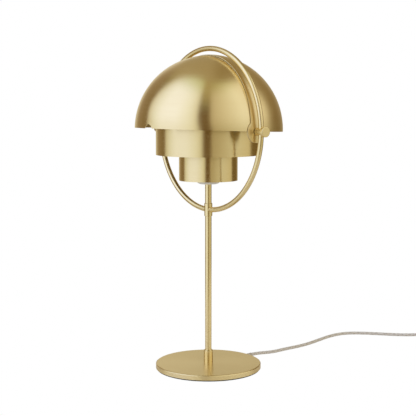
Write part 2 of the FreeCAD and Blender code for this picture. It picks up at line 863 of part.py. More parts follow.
def coil_state(quarter):
    """Radius, height and their rates per radian after a number of quarter turns."""
    pitch = coil_pitch.number
    rate = pitch / (2 * math.pi)
    turning = 4 * TURNS + 1
    radius = SIZES["coil_radius"] - pitch * (turning - abs(quarter - turning)) / 4
    radius_rate = rate * ((quarter > turning) - (quarter < turning))
    share = min(max((quarter - turning + 1) / 2, 0.0), 1.0)
    height = coil_low.number + pitch * share * share * (3 - 2 * share)
    height_rate = 6 * share * (1 - share) * pitch / math.pi
    return radius, height, radius_rate, height_rate


def coil_point(quarter):
    radius, height, radius_rate, height_rate = coil_state(quarter)
    angle = heading + math.pi / 2 - quarter * math.pi / 2
    out = Vector(math.cos(angle), math.sin(angle), 0)
    round_way = Vector(math.sin(angle), -math.cos(angle), 0)
    way = out * radius_rate + round_way * radius + Vector(0, 0, height_rate)
    return coil_centre + out * radius + Vector(0, 0, height), way.normalize()


quarters = 8 * TURNS + 2
marks = [coil_point(quarter) for quarter in range(quarters + 1)]
marks[0] = (marks[0][0], onward)
marks[-1] = (marks[-1][0], onward * -1)
coil_edges = [Part.LineSegment(coil_start, wind_start).toShape()]
for (point, way), (end, end_way) in zip(marks, marks[1:]):
    coil_edges += biarc(point, way, end, end_way)
wind_end = marks[-1][0]
plug_axis = S.plug_height / 2
low_end = wind_end - onward * SIZES["coil_descent"]
low_end.z = plug_axis.number
coil_edges += biarc(wind_end, onward * -1, low_end, onward * -1)
coil_end = low_end - onward * SIZES["cord_diameter"]
coil_edges.append(Part.LineSegment(low_end, coil_end).toShape())
coil_line = Part.Wire(coil_edges)
samples = coil_line.discretize(Distance=2.0)
apart = 12
least = min(
    first.distanceToPoint(second)
    for index, first in enumerate(samples)
    for second in samples[index + apart:]
)
print("least gap of the coil to itself %.2f" % (least - SIZES["cord_diameter"]))
piece_from("cord_coil", round_tube(coil_edges, cord_radius.number))

# Tie round the coil on the far side of its middle
along = Rotation(Vector(0, 0, 1), SIZES["cord_heading"])
coil_inner = S.coil_radius - coil_pitch * (TURNS + 0.25) - cord_radius
tie_inner = coil_inner - S.tie_inner_gap
tie_outer = S.coil_radius + cord_radius + S.tie_gap
tie_top = coil_high + cord_radius + S.tie_gap
half_tie = S.tie_width / 2
tie_skin = box(
    "tie_skin",
    (tie_inner - S.tie_thickness, half_tie * -1, NOTHING),
    (tie_outer + S.tie_thickness, half_tie, tie_top + S.tie_thickness),
)
tie_space = box("tie_space", (tie_inner, S.tie_width * -1, S.tie_thickness), (tie_outer, S.tie_width, tie_top))
tie = finished(cut("cord_tie", tie_skin, tie_space))
tie.Placement = Placement(coil_centre, along)

# Switch in the cord, built from the end where the cord comes in
switch_start = Vector(CORD_RUN[-1][0], CORD_RUN[-1][1], 0)
half_width = S.switch_width / 2
half_length = S.switch_length / 2


def switch_shell(name, height):
    outline = [
        (NOTHING, NOTHING),
        (S.switch_length, NOTHING),
        (S.switch_length, S.switch_width),
        (NOTHING, S.switch_width),
    ]
    return round_uprights(slab(name, outline, height), S.switch_corner)


def in_switch(piece, lift=0.0):
    spot = switch_start + rightward * half_width.number + Vector(0, 0, lift)
    piece.Placement = Placement(spot, along)
    return finished(piece)


def middle_box(name, length, width, low, high):
    """A box centred over the switch."""
    return box(
        name,
        (half_length - length / 2, half_width - width / 2, low),
        (half_length + length / 2, half_width + width / 2, high),
    )


cover_height = S.switch_height - S.switch_split
inside_length = S.switch_length - S.switch_wall * 2 - S.switch_corner * 2
inside_width = S.switch_width - S.switch_wall * 2
screw_spots = [half_length - S.screw_spacing / 2, half_length + S.screw_spacing / 2]
screw_space = S.screw_diameter / 2 + S.fit_clearance
shank_space = S.screw_shank / 2 + S.fit_clearance
boss = S.screw_spacing - S.screw_diameter * 2
lower_space = middle_box("switch_base_space", boss, inside_width, S.switch_wall, S.switch_split)
lower_holes = [
    cylinder("switch_base_hole_%d" % index, shank_space, S.switch_split, x=spot, y=half_width)
    for index, spot in enumerate(screw_spots)
]
head_holes = [
    cylinder("switch_base_seat_%d" % index, screw_space, S.screw_head_depth, x=spot, y=half_width)
    for index, spot in enumerate(screw_spots)
]
switch_base = cut(
    "switch_base",
    switch_shell("switch_base_blank", S.switch_split),
    fuse("switch_base_spaces", [lower_space] + lower_holes + head_holes),
)
in_switch(switch_base)
upper_space = middle_box("switch_cover_space", boss, inside_width, NOTHING, cover_height - S.switch_wall)
rocker_space = middle_box(
    "rocker_space",
    S.rocker_length + S.rocker_gap * 2,
    S.rocker_width + S.rocker_gap * 2,
    NOTHING,
    cover_height,
)
upper_holes = [
    cylinder("switch_cover_hole_%d" % index, shank_space, S.screw_length - S.switch_split, x=spot, y=half_width)
    for index, spot in enumerate(screw_spots)
]
pin_reach = S.rocker_width / 2 + S.rocker_pin_length
rocker_pin_space = cylinder(
    "rocker_pin_space",
    S.rocker_pin_diameter / 2 + S.fit_clearance,
    (pin_reach + S.rocker_gap) * 2,
    x=half_length,
    y=half_width - pin_reach - S.rocker_gap,
    z=cover_height - S.rocker_sink / 2,
    turn=TO_Y,
)
switch_cover = cut(
    "switch_cover",
    switch_shell("switch_cover_blank", cover_height),
    fuse("switch_cover_spaces", [upper_space, rocker_space, rocker_pin_space] + upper_holes),
)
in_switch(switch_cover, SIZES["switch_split"])


def screw(index, spot):
    body = turned("switch_screw_%d" % index, [
        (NOTHING, NOTHING),
        (S.screw_diameter / 2, NOTHING),
        (S.screw_diameter / 2, S.screw_head_depth),
        (S.screw_shank / 2, S.screw_head_depth),
        (S.screw_shank / 2, S.screw_length),
        (NOTHING, S.screw_length),
    ])
    return place(body, x=spot, y=half_width)


in_switch(group("switch_screws", [screw(index, spot) for index, spot in enumerate(screw_spots)]))

# Rocker: a bar with a pin on each side, tipped about the pins
half_rocker = S.rocker_length / 2
rocker_top = S.rocker_sink + S.rocker_rise
rocker_bar = slab("rocker_bar", [
    (NOTHING, NOTHING),
    (S.rocker_length, NOTHING),
    (S.rocker_length, rocker_top),
    (half_rocker, S.rocker_sink + S.rocker_rise / 2),
    (NOTHING, rocker_top),
], S.rocker_width)
rocker_pins = cylinder(
    "rocker_pins",
    S.rocker_pin_diameter / 2,
    pin_reach * 2,
    x=half_rocker,
    y=S.rocker_sink / 2,
    z=S.rocker_pin_length * -1,
)
rocker = finished(fuse("switch_rocker", [rocker_bar, rocker_pins]))
rocker_height = SIZES["switch_height"] - SIZES["rocker_sink"] / 2
rocker_middle = switch_start + onward * half_length.number + Vector(0, 0, rocker_height)
tipped = along * Rotation(Vector(0, 1, 0), SIZES["rocker_tilt"]) * Rotation(Vector(1, 0, 0), 90)
rocker_own_middle = Vector(half_rocker.number, SIZES["rocker_sink"] / 2, SIZES["rocker_width"] / 2)
rocker.Placement = Placement(rocker_middle - tipped.multVec(rocker_own_middle), tipped)
print("rocker middle", rocker_middle)

# Plug at the end of the coil, lying flat on the table
relief_tip = S.plug_relief_tip / 2
plug_way = onward * -1
relief = finished(turned("plug_relief", [
    (NOTHING, NOTHING),
    (relief_tip, NOTHING),
    (S.plug_relief_diameter / 2, S.plug_relief_length),
    (NOTHING, S.plug_relief_length),
]))
relief.Placement = Placement(coil_end, Rotation(Vector(0, 0, 1), plug_way))
plug_start = coil_end + plug_way * SIZES["plug_relief_length"]
tail_low = (S.plug_width - S.plug_tail_width) / 2
tail_high = (S.plug_width + S.plug_tail_width) / 2
plug = round_uprights(slab("plug_body", [
    (NOTHING, tail_low),
    (S.plug_shoulder, NOTHING),
    (S.plug_length, NOTHING),
    (S.plug_length, S.plug_width),
    (S.plug_shoulder, S.plug_width),
    (NOTHING, tail_high),
], S.plug_height), S.plug_corner)
back = along * Rotation(Vector(0, 0, 1), 180)
plug_side = back.multVec(Vector(0, SIZES["plug_width"] / 2, 0))
plug.Placement = Placement(Vector(plug_start.x, plug_start.y, 0) - plug_side, back)
finished(plug)
pin_radius_plug = S.plug_pin_diameter / 2


def plug_pin(index, across):
    body = turned("plug_pin_%d" % index, [
        (NOTHING, NOTHING),
        (pin_radius_plug, NOTHING),
        (pin_radius_plug, S.plug_pin_length - S.plug_pin_round),
        (pin_radius_plug - S.plug_pin_round, S.plug_pin_length, S.plug_pin_round),
        (NOTHING, S.plug_pin_length),
    ])
    return place(body, y=across, turn=TO_X)


plug_pins = group("plug_pins", [
    plug_pin(0, S.plug_pin_spacing * -0.5),
    plug_pin(1, S.plug_pin_spacing * 0.5),
])
plug_pins.Placement = Placement(plug_start + plug_way * SIZES["plug_length"], back)
finished(plug_pins)

doc.recompute()

for feature in doc.Objects:
    if "Invalid" in feature.State or "Error" in feature.State:
        raise RuntimeError("%s is %s" % (feature.Label, feature.State))

os.makedirs("parts", exist_ok=True)
for piece in nodes:
    shape = piece.Shape
    if shape.isNull() or not shape.isValid() or not shape.Solids:
        raise RuntimeError("%s has no valid solid" % piece.Label)
    box_of = shape.BoundBox
    print("%-18s solids %d volume %9.1f z %6.2f to %6.2f" % (
        piece.Label, len(shape.Solids), shape.Volume, box_of.ZMin, box_of.ZMax))
    shape.exportStep("parts/%s.step" % piece.Label)
print("nodes", len(nodes))
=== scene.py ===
import bpy
import bmesh
import math
from mathutils import Matrix, Vector


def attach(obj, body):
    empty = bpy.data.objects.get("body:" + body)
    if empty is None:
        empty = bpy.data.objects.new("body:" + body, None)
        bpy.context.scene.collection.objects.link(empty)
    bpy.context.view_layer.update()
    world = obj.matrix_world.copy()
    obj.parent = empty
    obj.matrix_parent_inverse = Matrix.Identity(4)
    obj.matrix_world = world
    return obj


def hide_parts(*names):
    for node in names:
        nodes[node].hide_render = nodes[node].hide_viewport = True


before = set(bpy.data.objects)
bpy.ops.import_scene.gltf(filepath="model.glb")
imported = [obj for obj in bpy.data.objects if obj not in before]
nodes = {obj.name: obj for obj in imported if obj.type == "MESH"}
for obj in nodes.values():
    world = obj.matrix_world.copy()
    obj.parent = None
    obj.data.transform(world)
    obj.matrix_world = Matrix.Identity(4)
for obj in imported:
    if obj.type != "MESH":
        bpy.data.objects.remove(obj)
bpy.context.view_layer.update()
MM = 0.001
# The middle of the ball, on the line from one pivot to the other
PIVOT = (0, 0, 373 * MM)


# ---- Small helpers ---------------------------------------------------------------------------

# A piece's edges stay sharp where its faces turn by more than this
SHARP_TURN = math.radians(40)
# A Mix node's sockets go by number, for colours and for plain values
SHARE, FIRST, SECOND, MIXED = 0, 6, 7, 2
FIRST_VALUE, SECOND_VALUE, MIXED_VALUE = 2, 3, 0


def linear(code):
    """An sRGB hex colour as linear red, green, blue and alpha."""
    parts = [int(code[i:i + 2], 16) / 255 for i in (1, 3, 5)]
    return [c / 12.92 if c <= 0.04045 else ((c + 0.055) / 1.055) ** 2.4 for c in parts] + [1.0]


def add(tree, kind, links=None, values=None, **settings):
    """Adds one node to a tree, with its settings, its fixed values and its links."""
    made = tree.nodes.new(kind)
    for name, value in settings.items():
        setattr(made, name, value)
    for socket, value in (values or {}).items():
        made.inputs[socket].default_value = value
    for socket, source in (links or {}).items():
        tree.links.new(source, made.inputs[socket])
    return made


def new_finish(name, **fixed):
    """Makes a finish with its shader's fixed values. Gives it with its tree, its shader and the place
    on the piece that its patterns follow."""
    made = bpy.data.materials.new(name)
    made.use_nodes = True
    tree = made.node_tree
    tree.nodes.clear()
    values = {socket.replace("_", " "): value for socket, value in fixed.items()}
    shader = add(tree, "ShaderNodeBsdfPrincipled", values=values)
    add(tree, "ShaderNodeOutputMaterial", {"Surface": shader.outputs["BSDF"]})
    spot = add(tree, "ShaderNodeTexCoord").outputs["Object"]
    return made, tree, shader, spot


def wear(tree, shader, colour=None, roughness=None, bump=None):
    """Links a finish's varying colour, roughness and surface to its shader."""
    for socket, source in (("Base Color", colour), ("Roughness", roughness), ("Normal", bump)):
        if source:
            tree.links.new(source, shader.inputs[socket])


def finish_piece(name, bm, finish, stands_for):
    """Makes a bmesh a piece of the stand, smooth but for its sharp edges, in place of a CAD node."""
    bmesh.ops.recalc_face_normals(bm, faces=bm.faces[:])
    for face in bm.faces:
        face.smooth = True
    mesh = bpy.data.meshes.new(name)
    bm.to_mesh(mesh)
    bm.free()
    mesh.set_sharp_from_angle(angle=SHARP_TURN)
    mesh.materials.append(finish)
    piece = bpy.data.objects.new(name, mesh)
    bpy.context.scene.collection.objects.link(piece)
    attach(piece, "stand")
    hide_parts(stands_for)
    return piece


# ---- Camera ----------------------------------------------------------------------------------

# Angles in degrees, lengths in metres, the lens in pixels of the picture and the sensor in mm
CAMERA_AZIMUTH = 51.7705
CAMERA_REACH = 1.61241
CAMERA_HEIGHT = 0.42551
CAMERA_DIP = 6.1336
CAMERA_YAW = 0.0182
LENS_PIXELS = 1050.32
PICTURE_PIXELS = 416
SENSOR_WIDTH = 36

azimuth = math.radians(CAMERA_AZIMUTH)
camera_data = bpy.data.cameras.new("camera")
camera = bpy.data.objects.new("camera", camera_data)
bpy.context.scene.collection.objects.link(camera)
camera_data.sensor_width = SENSOR_WIDTH
camera_data.lens = LENS_PIXELS / PICTURE_PIXELS * SENSOR_WIDTH
camera.location = (CAMERA_REACH * math.sin(azimuth), -CAMERA_REACH * math.cos(azimuth),
                   CAMERA_HEIGHT)
camera.rotation_euler = (math.radians(90 - CAMERA_DIP), 0, azimuth + math.radians(CAMERA_YAW))
bpy.context.scene.camera = camera


# ---- Cord ------------------------------------------------------------------------------------

CORD_DIAMETER = 5.2 * MM
CORD_LENGTH = 1.78
# The cord's line in mm: from the base to its switch, on to the coil, and from the coil to the plug
CORD_RUN = [
    (-13.07, 99.28, 3.3), (-14.37, 109.19, 3.2), (-12.2, 122.5, 2.8), (-6.5, 141.8, 2.6),
    (-9, 170, 2.6), (-8.7, 197.2, 2.6), (-11.5, 225.6, 2.6), (-21.4, 262.4, 2.6),
    (-31.3, 300.2, 2.6), (-30.5, 334, 2.6), (-12, 358.5, 2.6), (13.5, 379.5, 2.6),
    (38, 399, 2.7), (59.5, 415.5, 4.0), (74.33, 427.63, 6.9), (84, 440, 7.0),
]
CORD_TAIL = [
    (119.71, 485.70, 7.0), (127.71, 495.94, 6.8), (136.31, 506.97, 4.2), (144.33, 517.22, 3.9),
]
PLUG_END = [(201.0, 459.8, 8.6), (192.10, 448.42, 7.0), (188.90, 444.33, 7.0)]
# The cord's channel in the base is turned this far from straight back
EXIT_TURN = math.radians(7.5)
# The way that the switch and the plug lie, and the tape reaches across the coil
HEADING = math.radians(52)

# The coil, in mm and in quarter turns
COIL_CENTRE = Vector((179.05, 496.69, 0))
COIL_RADIUS = 40.0
COIL_PITCH = 5.8
COIL_BED = 3.9
COIL_START = math.radians(142)
COIL_QUARTERS = 26
QUARTERS_PER_TURN = 4
POINTS_PER_QUARTER = 4
CLIMB_START = 12
CLIMB_QUARTERS = 2


def coil_point(quarter):
    """The cord's centre in its coil, after so many quarter turns: it winds inwards on the table,
    climbs a layer half-way along and winds outwards again on top."""
    inward = COIL_QUARTERS / 2 - abs(quarter - COIL_QUARTERS / 2)
    radius = COIL_RADIUS - COIL_PITCH * inward / QUARTERS_PER_TURN
    climb = min(1, max(0, (quarter - CLIMB_START) / CLIMB_QUARTERS))
    height = COIL_BED + COIL_PITCH * climb * climb * (3 - 2 * climb)
    angle = COIL_START - math.pi / 2 * quarter
    return COIL_CENTRE + Vector((radius * math.cos(angle), radius * math.sin(angle), height))


coil = [coil_point(i / POINTS_PER_QUARTER) for i in range(COIL_QUARTERS * POINTS_PER_QUARTER + 1)]
route = [Vector(place) * MM for place in CORD_RUN + CORD_TAIL + coil + PLUG_END]

cord_line = bpy.data.curves.new("flex_cord", "CURVE")
cord_line.dimensions = "3D"
spline = cord_line.splines.new("NURBS")
spline.points.add(len(route) - 1)
for point, place in zip(spline.points, route):
    point.co = (*place, 1)
spline.order_u = 3
spline.use_endpoint_u = True
spline.resolution_u = 6
cord_line.bevel_depth = CORD_DIAMETER / 2
cord_line.bevel_resolution = 4
cord_line.use_fill_caps = True


# ---- Brass -----------------------------------------------------------------------------------

UPRIGHT = (0, 0, 1)
PIVOT_LINE = (1, 0, 0)
ACROSS_HOOP = (0, 1, 0)
STEM_FOOT = (0, 0, 0)
# A brush leaves lines about 0.15 mm apart, too fine to show, so they are drawn this wide
BRUSH_LINE = 1.6 * MM
# How often a brushed line breaks on its way round
BRUSH_BREAKS = 2.5
# The lines of a drawing die: how far one runs along a tube, and how close they lie round it
DIE_LINE = 120 * MM
DIE_LINES = 6
LACQUER_CLOUD = 45 * MM
BRUSH_DEPTH = 0.006 * MM
GLOSS_SWING = 0.03
INSIDE_ROUGHNESS = 0.48
# Lights smear square to the brushed lines
SMEAR_TURN = 0.25


def satin_brass(name, axis, centre, roughness, streak, skin=None, drawn=False):
    """Brass, brushed round an axis as it turns and then lacquered: fine lines run round it, so a light
    stays sharp along them and smears across them. Past the skin, inside a spun shade and on its cut
    edge, the brass is left as it came off the lathe, paler and dull. On a drawn tube the die's faint
    lines run lengthwise instead."""
    made, tree, shader, spot = new_finish(name, Metallic=1, Anisotropic=streak,
                                          Anisotropic_Rotation=SMEAR_TURN)
    arm = add(tree, "ShaderNodeVectorMath", {0: spot}, {1: centre},
              operation="SUBTRACT").outputs["Vector"]
    along = add(tree, "ShaderNodeVectorMath", {0: arm}, {1: axis},
                operation="DOT_PRODUCT").outputs["Value"]
    lift = add(tree, "ShaderNodeVectorMath", {"Scale": along}, {0: axis},
               operation="SCALE").outputs["Vector"]
    outward = add(tree, "ShaderNodeVectorMath", {0: arm, 1: lift},
                  operation="SUBTRACT").outputs["Vector"]
    reach = add(tree, "ShaderNodeVectorMath", {0: outward}, operation="LENGTH").outputs["Value"]
    side = add(tree, "ShaderNodeVectorMath", {0: outward}, operation="NORMALIZE").outputs["Vector"]
    step, breaks = (DIE_LINE, DIE_LINES) if drawn else (BRUSH_LINE, BRUSH_BREAKS)
    rows = add(tree, "ShaderNodeVectorMath", {0: lift}, {"Scale": 1 / step},
               operation="SCALE").outputs["Vector"]
    place = add(tree, "ShaderNodeVectorMath", {0: side, 2: rows}, {1: (breaks,) * 3},
                operation="MULTIPLY_ADD").outputs["Vector"]
    depth = add(tree, "ShaderNodeMath", {0: reach}, {1: 1 / BRUSH_LINE},
                operation="MULTIPLY").outputs["Value"]
    lines = add(tree, "ShaderNodeTexNoise", {"Vector": place, "W": depth},
                {"Scale": 1, "Detail": 2}, noise_dimensions="4D").outputs["Fac"]
    clouds = add(tree, "ShaderNodeTexNoise", {"Vector": spot},
                 {"Scale": 1 / LACQUER_CLOUD, "Detail": 1}).outputs["Fac"]
    blend = add(tree, "ShaderNodeMath", {0: lines, 1: clouds}, operation="ADD").outputs["Value"]
    tone = add(tree, "ShaderNodeMapRange", {"Value": blend},
               {"From Min": 0.6, "From Max": 1.4}).outputs["Result"]
    colour = add(tree, "ShaderNodeMix", {SHARE: tone},
                 {FIRST: linear("#EBD6A0"), SECOND: linear("#EFDCA8")},
                 data_type="RGBA").outputs[MIXED]
    rough = add(tree, "ShaderNodeMapRange", {"Value": lines},
                {"From Min": 0.2, "From Max": 0.8, "To Min": roughness - GLOSS_SWING,
                 "To Max": roughness + GLOSS_SWING}).outputs["Result"]
    if skin:
        ball = add(tree, "ShaderNodeVectorMath", {0: arm}, operation="LENGTH").outputs["Value"]
        within = add(tree, "ShaderNodeMath", {0: ball}, {1: skin},
                     operation="LESS_THAN").outputs["Value"]
        dull = add(tree, "ShaderNodeMix", {SHARE: tone},
                   {FIRST: linear("#E8D8AA"), SECOND: linear("#EDDFB6")},
                   data_type="RGBA").outputs[MIXED]
        colour = add(tree, "ShaderNodeMix", {SHARE: within, FIRST: colour, SECOND: dull},
                     data_type="RGBA").outputs[MIXED]
        rough = add(tree, "ShaderNodeMix", {SHARE: within, FIRST_VALUE: rough},
                    {SECOND_VALUE: INSIDE_ROUGHNESS}).outputs[MIXED_VALUE]
    bump = add(tree, "ShaderNodeBump", {"Height": lines},
               {"Strength": 0.1, "Distance": BRUSH_DEPTH})
    wear(tree, shader, colour, rough, bump.outputs["Normal"])
    round_axis = add(tree, "ShaderNodeVectorMath", {1: arm}, {0: axis},
                     operation="CROSS_PRODUCT").outputs["Vector"]
    brushed = add(tree, "ShaderNodeVectorTransform", {"Vector": round_axis},
                  vector_type="VECTOR", convert_from="OBJECT", convert_to="WORLD")
    tree.links.new(brushed.outputs["Vector"], shader.inputs["Tangent"])
    return made


# Each with its axis and centre, its roughness, how far its lights smear and, on a shade, the inner
# radius of its brushed skin
base_brass = satin_brass("satin_brass_base", UPRIGHT, STEM_FOOT, 0.31, 0.25)
tube_brass = satin_brass("drawn_brass_tube", UPRIGHT, STEM_FOOT, 0.2, 0.0, drawn=True)
drum_brass = satin_brass("satin_brass_drum", UPRIGHT, STEM_FOOT, 0.24, 0.7)
front_brass = satin_brass("satin_brass_front_shade", UPRIGHT, PIVOT, 0.22, 0.6, skin=112.4 * MM)
rear_brass = satin_brass("satin_brass_rear_shade", UPRIGHT, PIVOT, 0.34, 0.3, skin=113.8 * MM)
hoop_brass = satin_brass("polished_brass_hoop", ACROSS_HOOP, PIVOT, 0.24, 0.0)
pivot_brass = satin_brass("satin_brass_pivot", PIVOT_LINE, PIVOT, 0.2, 0.3)


# ---- Other finishes --------------------------------------------------------------------------

FELT_TUFT = 0.9 * MM
MELT_CLOUD = 14 * MM
MOULD_SWING = 0.07
PLATING_GRIT = 0.6 * MM
PLATING_SWING = 0.06
CERAMIC_SPACING = 1.8 * MM
MILK_CLOUD = 18 * MM
LEAD_WAVE = 3 * MM
PLAIT_TURN = 21 * MM
PLAIT_THREADS = 3
TEXTILE_FLUFF = 0.8 * MM
TAPE_RIB = 1.2 * MM
# A Wave node takes its scaled place times this as an angle
WAVE_STEP = 20


def wool_felt():
    """Pressed wool felt, soft and matt: tangled fibres, about 0.03 mm thick and drawn as tufts of
    0.9 mm."""
    made, tree, shader, spot = new_finish("wool_felt", Sheen_Weight=0.25, Sheen_Roughness=0.6)
    tufts = add(tree, "ShaderNodeTexNoise", {"Vector": spot},
                {"Scale": 1 / FELT_TUFT, "Detail": 4}).outputs["Fac"]
    colour = add(tree, "ShaderNodeMix", {SHARE: tufts},
                 {FIRST: linear("#211F1D"), SECOND: linear("#4A4640")}, data_type="RGBA")
    rough = add(tree, "ShaderNodeMapRange", {"Value": tufts}, {"To Min": 0.85, "To Max": 1.0})
    bump = add(tree, "ShaderNodeBump", {"Height": tufts},
               {"Strength": 0.6, "Distance": 0.25 * MM})
    wear(tree, shader, colour.outputs[MIXED], rough.outputs["Result"], bump.outputs["Normal"])
    return made


def moulded_plastic(name, pale, dark, roughness, grain):
    """Injection-moulded plastic: the mould's fine spark grain makes it satin, and the flow of the melt
    leaves faint broad clouds in the colour. The grain is drawn a few times coarser than it is."""
    made, tree, shader, spot = new_finish(name, IOR=1.49)
    flow = add(tree, "ShaderNodeTexNoise", {"Vector": spot},
               {"Scale": 1 / MELT_CLOUD, "Detail": 2}).outputs["Fac"]
    specks = add(tree, "ShaderNodeTexNoise", {"Vector": spot},
                 {"Scale": 1 / grain, "Detail": 2}).outputs["Fac"]
    colour = add(tree, "ShaderNodeMix", {SHARE: flow},
                 {FIRST: linear(dark), SECOND: linear(pale)}, data_type="RGBA")
    rough = add(tree, "ShaderNodeMapRange", {"Value": specks},
                {"From Min": 0.25, "From Max": 0.75, "To Min": roughness - MOULD_SWING,
                 "To Max": roughness + MOULD_SWING})
    bump = add(tree, "ShaderNodeBump", {"Height": specks},
               {"Strength": 0.35, "Distance": 0.03 * MM})
    wear(tree, shader, colour.outputs[MIXED], rough.outputs["Result"], bump.outputs["Normal"])
    return made


def plated_metal(name, pale, dark, roughness, cloud):
    """Plated metal: an even thin coat whose crystals and handling show as soft clouds in tone and
    gloss."""
    made, tree, shader, spot = new_finish(name, Metallic=1)
    clouds = add(tree, "ShaderNodeTexNoise", {"Vector": spot},
                 {"Scale": 1 / cloud, "Detail": 3}).outputs["Fac"]
    grit = add(tree, "ShaderNodeTexNoise", {"Vector": spot},
               {"Scale": 1 / PLATING_GRIT, "Detail": 1}).outputs["Fac"]
    colour = add(tree, "ShaderNodeMix", {SHARE: clouds},
                 {FIRST: linear(dark), SECOND: linear(pale)}, data_type="RGBA")
    rough = add(tree, "ShaderNodeMapRange", {"Value": clouds},
                {"From Min": 0.3, "From Max": 0.7, "To Min": roughness + PLATING_SWING,
                 "To Max": roughness - PLATING_SWING})
    bump = add(tree, "ShaderNodeBump", {"Height": grit},
               {"Strength": 0.25, "Distance": 0.01 * MM})
    wear(tree, shader, colour.outputs[MIXED], rough.outputs["Result"], bump.outputs["Normal"])
    return made


def steatite():
    """Unglazed lamp-holder ceramic: off-white and chalky, with grey specks of about 0.7 mm."""
    made, tree, shader, spot = new_finish("steatite_ceramic", IOR=1.55)
    specks = add(tree, "ShaderNodeTexVoronoi", {"Vector": spot},
                 {"Scale": 1 / CERAMIC_SPACING}).outputs["Distance"]
    dots = add(tree, "ShaderNodeMapRange", {"Value": specks},
               {"From Min": 0.12, "From Max": 0.3}).outputs["Result"]
    colour = add(tree, "ShaderNodeMix", {SHARE: dots},
                 {FIRST: linear("#C4BBAB"), SECOND: linear("#E9E3D6")}, data_type="RGBA")
    rough = add(tree, "ShaderNodeMapRange", {"Value": specks}, {"To Min": 0.45, "To Max": 0.6})
    wear(tree, shader, colour.outputs[MIXED], rough.outputs["Result"])
    return made


def opal_glass():
    """Blown glass flashed white: a clear glossy skin over a milky body that is a little uneven."""
    made, tree, shader, spot = new_finish("opal_glass", IOR=1.5, Coat_Weight=0.4,
                                          Coat_Roughness=0.03)
    milk = add(tree, "ShaderNodeTexNoise", {"Vector": spot},
               {"Scale": 1 / MILK_CLOUD, "Detail": 2}).outputs["Fac"]
    colour = add(tree, "ShaderNodeMix", {SHARE: milk},
                 {FIRST: linear("#EBE8E0"), SECOND: linear("#F8F6F1")}, data_type="RGBA")
    rough = add(tree, "ShaderNodeMapRange", {"Value": milk}, {"To Min": 0.1, "To Max": 0.2})
    wear(tree, shader, colour.outputs[MIXED], rough.outputs["Result"])
    return made


def lead_plastic():
    """Soft PVC on the two leads, one brown and one blue, with the slight waviness of extruded
    plastic."""
    made, tree, shader, spot = new_finish("pvc_leads", IOR=1.53)
    side = add(tree, "ShaderNodeVectorMath", {0: spot},
               {1: (math.cos(EXIT_TURN), math.sin(EXIT_TURN), 0)},
               operation="DOT_PRODUCT").outputs["Value"]
    brown = add(tree, "ShaderNodeMath", {0: side}, {1: 0.0},
                operation="GREATER_THAN").outputs["Value"]
    waves = add(tree, "ShaderNodeTexNoise", {"Vector": spot},
                {"Scale": 1 / LEAD_WAVE, "Detail": 1}).outputs["Fac"]
    colour = add(tree, "ShaderNodeMix", {SHARE: brown},
                 {FIRST: linear("#3D5F93"), SECOND: linear("#6B4226")}, data_type="RGBA")
    rough = add(tree, "ShaderNodeMapRange", {"Value": waves}, {"To Min": 0.3, "To Max": 0.5})
    bump = add(tree, "ShaderNodeBump", {"Height": waves},
               {"Strength": 0.3, "Distance": 0.05 * MM})
    wear(tree, shader, colour.outputs[MIXED], rough.outputs["Result"], bump.outputs["Normal"])
    return made


def braided_textile():
    """A plaited textile sleeve: two sets of threads wind round the cord against each other. The real
    plait repeats about every 2 mm, too fine to show, so three threads each way are drawn, every
    7 mm."""
    made, tree, shader, spot = new_finish("braided_textile", Roughness=0.9, Sheen_Weight=0.2)
    threads = 2 * math.pi * PLAIT_THREADS
    sleeve = add(tree, "ShaderNodeTexCoord").outputs["UV"]
    axes = add(tree, "ShaderNodeSeparateXYZ", {0: sleeve}).outputs
    length = add(tree, "ShaderNodeMath", {0: axes["X"]},
                 {1: threads * CORD_LENGTH / PLAIT_TURN}, operation="MULTIPLY").outputs["Value"]
    girth = add(tree, "ShaderNodeMath", {0: axes["Y"]}, {1: threads},
                operation="MULTIPLY").outputs["Value"]
    winds = []
    for hand in ("ADD", "SUBTRACT"):
        turned = add(tree, "ShaderNodeMath", {0: length, 1: girth}, operation=hand).outputs["Value"]
        winds.append(add(tree, "ShaderNodeMath", {0: turned}, operation="SINE").outputs["Value"])
    plait = add(tree, "ShaderNodeMath", {0: winds[0], 1: winds[1]},
                operation="MAXIMUM").outputs["Value"]
    fluff = add(tree, "ShaderNodeTexNoise", {"Vector": spot},
                {"Scale": 1 / TEXTILE_FLUFF, "Detail": 2}).outputs["Fac"]
    height = add(tree, "ShaderNodeMath", {0: fluff, 2: plait}, {1: 0.6},
                 operation="MULTIPLY_ADD").outputs["Value"]
    tone = add(tree, "ShaderNodeMapRange", {"Value": height},
               {"From Min": -0.4, "From Max": 1.3}).outputs["Result"]
    colour = add(tree, "ShaderNodeMix", {SHARE: tone},
                 {FIRST: linear("#CDC5BB"), SECOND: linear("#E6E0D8")}, data_type="RGBA")
    bump = add(tree, "ShaderNodeBump", {"Height": height},
               {"Strength": 0.5, "Distance": 0.25 * MM})
    wear(tree, shader, colour.outputs[MIXED], bump=bump.outputs["Normal"])
    return made


